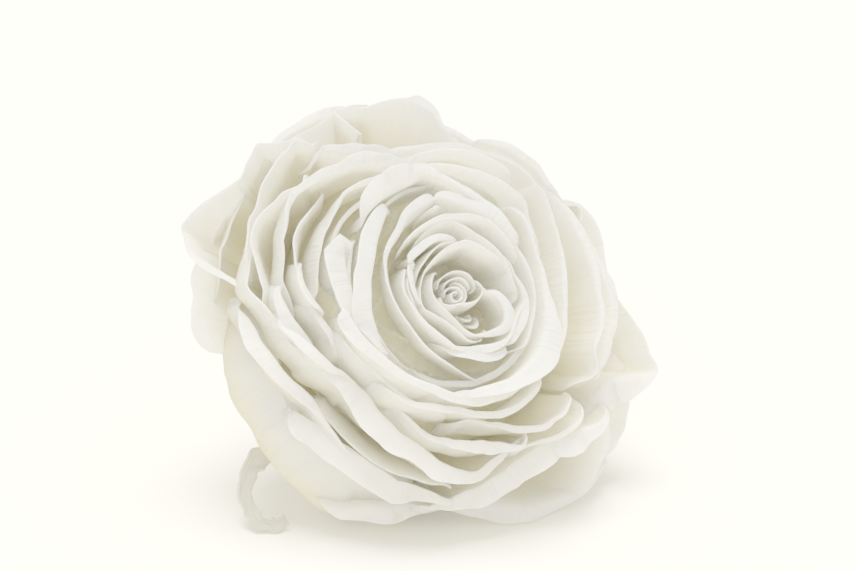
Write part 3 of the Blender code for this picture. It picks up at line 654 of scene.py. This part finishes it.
class Petal:
    # the whorl's settings with this petal's own changes, and its rim
    def __init__(self, whorl, line, seed):
        self.shape = {**petalDefaults, **whorl, **line[0]}
        self.seed = seed
        tuck = self.shape["tuck"]
        first, last = tuck if isinstance(tuck, tuple) else (tuck, tuck)
        rim = [(*point, self.shape["lip"])[:4] for point in line[1:]]
        rim = self.roundEnd(rim[0], first, -1)[::-1] + rim + self.roundEnd(rim[-1], last, 1)
        self.angles, self.radii, self.tops, self.lips = zip(*rim)
        self.middle = 0.5 * (self.angles[0] + self.angles[-1])
        self.arc = 0.0
        for i in range(len(rim) - 1):
            turn = radians(self.angles[i + 1] - self.angles[i])
            self.arc += hypot(turn * 0.5 * (self.radii[i] + self.radii[i + 1]),
                              self.radii[i + 1] - self.radii[i])

    def roundEnd(self, point, drop, way):
        # the rim goes on a little and rounds off down between the neighbours
        angle, radius, top, lip = point
        turn = min(degrees(drop / radius), mostEndTurn) * way
        return [(angle + turn * on, radius - inwards, top - drop * down, lip * share + more)
                for on, inwards, down, share, more in rimEnds]

    def ownRipple(self, name, across, up):
        fast, high, first, apart = ripples[name]
        return ripple(across * fast, up * high + first, self.seed * apart)

    def ownKink(self, name, across, up=0.0):
        fast, high, first, start = kinks[name]
        return kinked(across * fast + up * high + first, self.seed + start)

    def body(self, across, up):
        # place on the petal without its lip; up runs 0 at the foot to 1 at the rim
        form = petalBody
        rim = along(self.radii, across)
        top = along(self.tops, across)
        foot = self.shape["foot"]
        rise = top - foot
        angleHere = radians(along(self.angles, across))
        sway = self.shape["sway"] * cos(angleHere - form["swayFrom"])
        belly = rim - self.shape["hug"] - sway
        footRadius = form["footRadius"] + form["footSpread"] * rim
        footRadius = min(footRadius, max(rim * form["footMost"], form["footLeast"]))
        bulge = self.shape["bulge"]
        points = (
            Vector((footRadius, foot)),
            Vector((footRadius + (belly - footRadius) * form["guideOut"] + bulge,
                    foot + rise * form["guideLow"])),
            Vector((belly + bulge, foot + rise * form["guideHigh"])),
            Vector((rim, top)),
        )
        left = 1.0 - up
        place = (points[0] * left ** 3 + points[1] * 3 * left ** 2 * up
                 + points[2] * 3 * left * up ** 2 + points[3] * up ** 3)

        size = min(rim / form["fullSize"], 1.0)
        crumple = self.shape["crumple"]
        run = across * self.arc
        wave = self.ownRipple("wave", across, up) * form["wave"] * smooth(up) * size
        pleatShare = smooth((up - form["pleatFrom"]) / (1.0 - form["pleatFrom"]))
        pleat = self.ownKink("pleat", run, up) * form["pleat"] * size * pleatShare
        crease = abs(self.ownRipple("crease", run, up)) - form["creaseLevel"]
        crease *= form["crease"] * crumple * smooth(up / 0.5)
        fine = self.ownRipple("fine", run, up * top) * crumple * form["fine"]
        fine -= (abs(self.ownRipple("wrinkle", run, up * top)) - form["creaseLevel"]) * crumple
        radius = place.x + wave + pleat - crease + fine
        height = place.y + pleat * form["pleatLift"] + fine * form["fineLift"]

        width = form["footWidth"] + (1.0 - form["footWidth"]) * smooth(up / form["fullWidthAt"])
        angle = radians(self.middle + (along(self.angles, across) - self.middle) * width)
        centre = self.shape["centre"]
        return polar(radius, angle, height, (centre[0] * up, centre[1] * up))

    def column(self, across):
        # what the lip needs to know about its place on the rim
        near = 0.012                # share of the rim to both sides that gives its direction
        below = 0.96                # a place on the body just under the rim
        form = petalLip
        run = across * self.arc
        kink = self.shape["kink"]
        rim = self.body(across, 1.0)
        ahead = self.body(min(across + near, 1.0), 1.0) - self.body(max(across - near, 0.0), 1.0)
        upward = (rim - self.body(across, below)).normalized()
        outward = ahead.cross(upward).normalized()
        lip = max(along(self.lips, across), form["thin"])
        lip *= 1.0 + form["sizeChange"] * kink * self.ownKink("size", run)
        # the turn is counted from the bloom's axis, so what the petal leans in is added
        lean = degrees(atan2(outward.z, upward.z))
        turn = self.shape["turn"] * (1.0 + form["turnChange"] * kink * self.ownKink("turn", run))
        turn = radians(max(turn + lean, form["leastTurn"]) * min(lip / form["smallSize"], 1.0))
        # the free edge, rounded off at its corners and a little torn
        torn = ripple(run * form["tornSlow"], self.seed * form["tornSeed"], 0.4)
        torn += 0.5 * self.ownKink("torn", run)
        length = 1.0 - self.shape["corner"] * abs(2.0 * across - 1.0) ** form["cornerPower"]
        length += form["torn"] * torn * min(self.arc / petalBody["fullSize"], 1.0)
        # the lip bends close to the rim and then runs on nearly flat to its free edge,
        # with small creases that lift it along its own facing
        step = lip * form["reach"] / form["steps"]
        spots = [Vector((0.0, 0.0))]
        for i in range(form["steps"]):
            share = (i + 0.5) / form["steps"]
            bent = form["early"] * smooth(share / self.shape["bend"])
            bent = turn * (bent + (1.0 - form["early"]) * share)
            spots.append(spots[-1] + Vector((step * cos(bent), step * sin(bent))))
        facing = upward * sin(turn) - outward * cos(turn)
        lift = facing * min(lip, form["creaseMost"]) * form["crease"]
        return rim, upward, outward, spots, length, lift

    def place(self, across, up, column):
        # place on the whole petal, and how far up it is, its torn edge and corners counted
        rim, upward, outward, spots, length, lift = column
        reach = min(up * length, 1.0)
        if reach <= petalLip["share"]:
            return self.body(across, reach / petalLip["share"]), reach
        share = (reach - petalLip["share"]) / (1.0 - petalLip["share"])
        run = share * petalLip["steps"]
        i = min(int(run), petalLip["steps"] - 1)
        here = spots[i].lerp(spots[i + 1], run - i)
        crease = self.ownRipple("lip", across * self.arc, share)
        crease += 0.7 * self.ownKink("lip", across * self.arc, share)
        return rim + upward * here.x + outward * here.y + lift * crease * smooth(share * 1.4), reach


petalGrid = {
    "least": 16, "most": 80,    # columns
    "closer": 1.25,             # above 1, rows lie closer together towards the rim
    "mapWidth": 20.0, "mapStep": 1.37,      # mm of rim to one unit of the UV map, and its seeds
}


def addPetal(name, whorl, line, seed):
    petal = Petal(whorl, line, seed)
    columns = int(min(max(petal.arc / whorl["detail"], petalGrid["least"]), petalGrid["most"]))
    known = {}

    def shape(across, up):
        key = round(across * columns)
        if key not in known:
            known[key] = petal.column(across)
        up = 1.0 - (1.0 - up) ** petalGrid["closer"]
        place, reach = petal.place(across, up, known[key])
        onMap = across * petal.arc / petalGrid["mapWidth"] + seed * petalGrid["mapStep"]
        return headPlace @ (place * mm), (onMap, reach)

    return addSheet(name, columns, whorl["rows"], whorl["wall"], shape)


def addWhorls():
    seed = 0
    for name, whorl in whorls.items():
        pieces = []
        for line in whorl["petals"]:
            seed += 1
            pieces.append(addPetal(f"{name} petal", whorl, line, seed))
        whole = joinPieces(f"{name}_petals", pieces)
        keepAboveTable(whole)
        whole.data.materials.append(petalMaterial)
        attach(whole, "root")
        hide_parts("bloom")
        print("whorl", name, len(whole.data.polygons))


# The dome that the petals' bases fill: radius and height from its middle to its underside, mm
core = {
    "profile": [(0.0, 24.0), (5.0, 24.6), (9.0, 27.0), (14.5, 27.0), (18.8, 22.6), (20.6, 18.0),
                (20.4, 13.0), (18.4, 9.6), (14.0, 6.6), (8.0, 3.6), (4.0, 0.6), (0.0, -0.2)],
    "segments": 240, "rings": 180, "shift": (-0.6, 0.8),
    "wobble": 0.06, "wobbleAround": 1.6, "wobbleDown": 3.0,
    # the bases overlap in a spiral, each a small step higher at its outer edge
    "layer": 2.8, "layerStep": 0.5, "layersFrom": 6.0, "layersTo": 0.6, "layerDrift": 0.9,
    "mapWidth": 2.0, "mapHeight": 0.30,
}


def addCore():
    # packed petal bases that close the bottom of every gap
    radii, heights = zip(*core["profile"])

    def shape(run, angle):
        around = polar(core["wobbleAround"], angle, run * core["wobbleDown"])
        wobble = 1.0 + core["wobble"] * noise.noise(around)
        radius = max(along(radii, run), 0.0) * wobble
        drift = core["layerDrift"] * noise.noise(around * 1.4)
        turns = radius / core["layer"] + angle / tau + drift
        step = (turns % 1.0) ** 3 * core["layerStep"]
        step *= smooth(radius / core["layersFrom"]) if run < core["layersTo"] else 0.0
        return polar(radius, angle, along(heights, run) * wobble + step, core["shift"])

    piece = addTurned("packed_bases", core["segments"], core["rings"], shape)
    # the bases all take the yellow foot colour of the petals' ramp: partly their own colour, partly
    # painted shade at the bottom of the gaps
    for loop in piece.data.uv_layers.active.data:
        loop.uv = (loop.uv[0] * core["mapWidth"], core["mapHeight"])
    piece.data.materials.append(petalMaterial)
    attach(piece, "root")
    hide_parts("bloom")
    print("packed bases ready")


addCore()
addWhorls()

# The dried guard petal that leaves the bloom at the lower left: x, y, z and half its width, mm
strip = {
    "points": [(-21.0, -11.5, 10.4, 1.8), (-24.2, -12.3, 9.0, 1.6), (-25.6, -13.9, 6.8, 1.2),
               (-25.9, -15.7, 4.8, 1.0), (-25.2, -16.9, 3.1, 1.1), (-23.7, -17.7, 1.8, 1.2),
               (-21.8, -17.9, 1.1, 1.2), (-19.9, -17.1, 1.7, 0.8)],
    "columns": 14, "rows": 150, "wall": 0.45, "near": 0.02, "facing": (0.0, -1.0, 0.35),
    "curl": 0.45, "curlLevel": 0.4, "lumps": 0.25,
    "ragged": 0.22, "torn": 0.132, "tornSteps": 22.0, "leftSeed": 57, "rightSeed": 31,
    "mapWidth": 0.4, "mapHeight": 2.4, "aboveTable": 0.02,
    # the strip's colours are darker olive than the petals: partly its own dried colour, partly painted
    # shade
    "colour": (0.50, 0.48, 0.35, 1.0), "darker": (0.34, 0.31, 0.18, 1.0),
    "lighter": (0.52, 0.48, 0.33, 1.0),
}


def stripPlace(across, run):
    xs, ys, zs, halves = zip(*strip["points"])

    def spine(share):
        return Vector((along(xs, share), along(ys, share), along(zs, share)))

    forward = (spine(run + strip["near"]) - spine(run - strip["near"])).normalized()
    sideways = forward.cross(Vector(strip["facing"])).normalized()
    face = sideways.cross(forward)
    side = 2.0 * across - 1.0
    half = along(halves, run)
    half *= 1.0 + strip["ragged"] * ripple(run * 9.0, side * 0.8, 4.0)
    seed = strip["rightSeed"] if side > 0 else strip["leftSeed"]
    half *= 1.0 + strip["torn"] * kinked(run * strip["tornSteps"], seed)
    bend = strip["curl"] * (side * side - strip["curlLevel"]) * half
    bend += strip["lumps"] * ripple(run * 11.0, side * 1.5, 9.0)
    place = spine(run) + sideways * half * side + face * bend
    place.z = max(place.z, 0.5 * strip["wall"] + strip["aboveTable"])
    return place


def addStrip():
    def shape(across, run):
        onMap = (0.5 + (across - 0.5) * strip["mapWidth"], run * strip["mapHeight"])
        return stripPlace(across, run) * mm, onMap

    piece = addSheet("dried_strip", strip["columns"], strip["rows"], strip["wall"], shape)
    shadeSmooth(piece)
    keepAboveTable(piece)
    # the strip's material is darker than the petals, partly as painted shade
    piece.data.materials.append(makeDriedMaterial(
        "dried petal with painted shade", strip["colour"], strip["darker"], strip["lighter"]))
    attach(piece, "root")
    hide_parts("bloom")


# Calyx and cut stem under the bloom, in mm along the bloom's axis from the petals' foot
calyx = {
    "profile": [(0.0, -1.7), (4.2, -1.7), (4.6, -3.7), (3.95, -6.1), (2.86, -8.5), (2.6, -9.9),
                (2.6, -13.4), (2.55, -16.9), (2.2, -17.0), (0.0, -16.9)],
    "segments": 72, "rings": 90, "ribs": 5, "ribDepth": 0.05, "dents": 0.03,
    "smoothTo": 50.0,           # degrees; sharper edges stay sharp
    "green": (0.09, 0.125, 0.035, 1.0), "brown": (0.10, 0.07, 0.03, 1.0),
    "paleGreen": (0.17, 0.20, 0.09, 1.0),
}


def addHipAndStem():
    profile = [Vector(point) for point in calyx["profile"]]
    lengths = [0.0]
    for a, b in zip(profile, profile[1:]):
        lengths.append(lengths[-1] + (b - a).length)

    def shape(run, angle):
        run *= lengths[-1]
        i = max(k for k in range(len(profile) - 1) if lengths[k] <= run + 0.000001)
        f = min((run - lengths[i]) / (lengths[i + 1] - lengths[i]), 1.0)
        radius, height = profile[i].lerp(profile[i + 1], f)
        ribs = 1.0 + calyx["ribDepth"] * cos(calyx["ribs"] * angle)
        ribs += calyx["dents"] * noise.noise(polar(2.0, angle, height * 0.5))
        return polar(radius * ribs, angle, height)

    piece = addTurned("hip_and_stem", calyx["segments"], calyx["rings"], shape)
    shadeSmooth(piece, calyx["smoothTo"])
    keepAboveTable(piece)
    piece.data.materials.append(makeDriedMaterial(
        "dried green stem", calyx["green"], calyx["brown"], calyx["paleGreen"]))
    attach(piece, "root")
    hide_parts("calyx_and_stem")


sepals = {
    "count": 5, "firstAngle": 50.0, "foot": 3.2, "height": -1.5, "droop": 7.0, "droopPower": 1.6,
    "length": 16.7, "width": 6.4, "tip": 0.18, "taper": 0.7, "wall": 0.6,
    "columns": 24, "rows": 60, "mapWidth": 0.5, "mapStep": 1.7,
    "ragged": 0.10, "raggedSteps": 14.0, "leftSeed": 300, "rightSeed": 350,
    "cup": 0.05, "rib": 0.25, "ribWidth": 0.5, "lumps": 0.3,
    "green": (0.11, 0.15, 0.05, 1.0), "paleGreen": (0.20, 0.22, 0.11, 1.0),
}


def sepalPlace(index, across, up):
    angle = radians(sepals["firstAngle"] + index * 360.0 / sepals["count"])
    half = 0.5 * sepals["width"] * (1.0 - up) ** sepals["taper"]
    half = half * (0.75 + 0.5 * sin(pi * up)) + sepals["tip"]
    seed = index + (sepals["rightSeed"] if across > 0.5 else sepals["leftSeed"])
    half *= 1.0 + sepals["ragged"] * kinked(up * sepals["raggedSteps"], seed)
    out = sepals["foot"] + sepals["length"] * up
    side = (2.0 * across - 1.0) * half
    height = sepals["height"] - sepals["droop"] * up ** sepals["droopPower"]
    height += sepals["cup"] * side * side
    height -= sepals["rib"] * exp(-(side / sepals["ribWidth"]) ** 2)
    height += sepals["lumps"] * ripple(side * 0.3, out * 0.2, index * 5.0)
    return polar(out, angle, height) + polar(side, angle + 0.5 * pi, 0.0)


def addSepals():
    pieces = []
    for index in range(sepals["count"]):
        def shape(across, up):
            onMap = ((across - 0.5) * sepals["mapWidth"] + index * sepals["mapStep"], up)
            return headPlace @ (sepalPlace(index, across, up) * mm), onMap

        pieces.append(addSheet("sepal", sepals["columns"], sepals["rows"], sepals["wall"], shape))
    whole = joinPieces("sepals", pieces)
    keepAboveTable(whole)
    whole.data.materials.append(makeDriedMaterial(
        "dried sepal", sepals["green"], calyx["brown"], sepals["paleGreen"]))
    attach(whole, "root")
    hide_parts("calyx_and_stem")


addStrip()
addHipAndStem()
addSepals()
print("strip, calyx and stem ready")

# The bud is budHeight mm along the bloom's axis, and lies budRight and budBelow mm from the
# picture's middle. Distance and clipStart are in metres, lens and sensor in mm.
view = {
    "elevation": 20.0, "distance": 0.330, "lens": 100.0, "sensor": 36.0, "clipStart": 0.01,
    "budHeight": 33.0, "budRight": 4.44, "budBelow": 1.04,
}


def addCamera():
    elevation = radians(view["elevation"])
    right = Vector((1.0, 0.0, 0.0))
    up = Vector((0.0, sin(elevation), cos(elevation)))
    back = Vector((0.0, -cos(elevation), sin(elevation)))
    bud = headPlace @ Vector((0.0, 0.0, view["budHeight"] * mm))
    spot = (bud - right * view["budRight"] * mm + up * view["budBelow"] * mm
            + back * view["distance"])
    lens = bpy.data.cameras.new("camera")
    lens.lens = view["lens"]
    lens.sensor_width = view["sensor"]
    lens.clip_start = view["clipStart"]
    holder = bpy.data.objects.new("camera", lens)
    bpy.context.scene.collection.objects.link(holder)
    holder.matrix_world = (Matrix.Translation(spot)
                           @ Matrix((right, up, back)).transposed().to_4x4())
    bpy.context.scene.camera = holder


# A bright sky, a soft key from above and a weak fill from the front
light = {
    "skyStrength": 1.0, "skyColour": (1.0, 1.0, 1.0, 1.0),
    "keyStrength": 4.6, "keySoftness": 34.0, "keyFrom": (0.0, -0.08, 1.0),
    "fillStrength": 0.8, "fillSoftness": 34.0, "fillFrom": (-0.10, -1.0, 0.50),
    "exposure": -1.25, "gamma": 3.25,
}


def addLight():
    world = bpy.data.worlds.new("studio")
    world.use_nodes = True
    background = world.node_tree.nodes["Background"]
    background.inputs["Color"].default_value = light["skyColour"]
    background.inputs["Strength"].default_value = light["skyStrength"]
    bpy.context.scene.world = world
    for name in ("key", "fill"):
        lamp = bpy.data.lights.new(name, "SUN")
        lamp.energy = light[name + "Strength"]
        lamp.angle = radians(light[name + "Softness"])
        holder = bpy.data.objects.new(name, lamp)
        holder.rotation_euler = (-Vector(light[name + "From"])).to_track_quat("-Z", "Y").to_euler()
        bpy.context.scene.collection.objects.link(holder)
    look = bpy.context.scene.view_settings
    look.view_transform = "Standard"
    look.exposure = light["exposure"]
    look.gamma = light["gamma"]


tableTop = {
    "size": 4.0,                # metres
    "finish": {"Base Color": (0.98, 0.94, 0.78, 1.0), "Roughness": 0.9, "Specular IOR Level": 0.1},
}


def addFloor():
    clearSelection()
    bpy.ops.mesh.primitive_plane_add(size=tableTop["size"], location=(0.0, 0.0, 0.0))
    floor = bpy.context.object
    floor.name = "floor"
    made, shader, start = startMaterial("pale table")
    setSockets(shader, tableTop["finish"])
    floor.data.materials.append(made)


addCamera()
addLight()
addFloor()
print("camera, light and table ready")
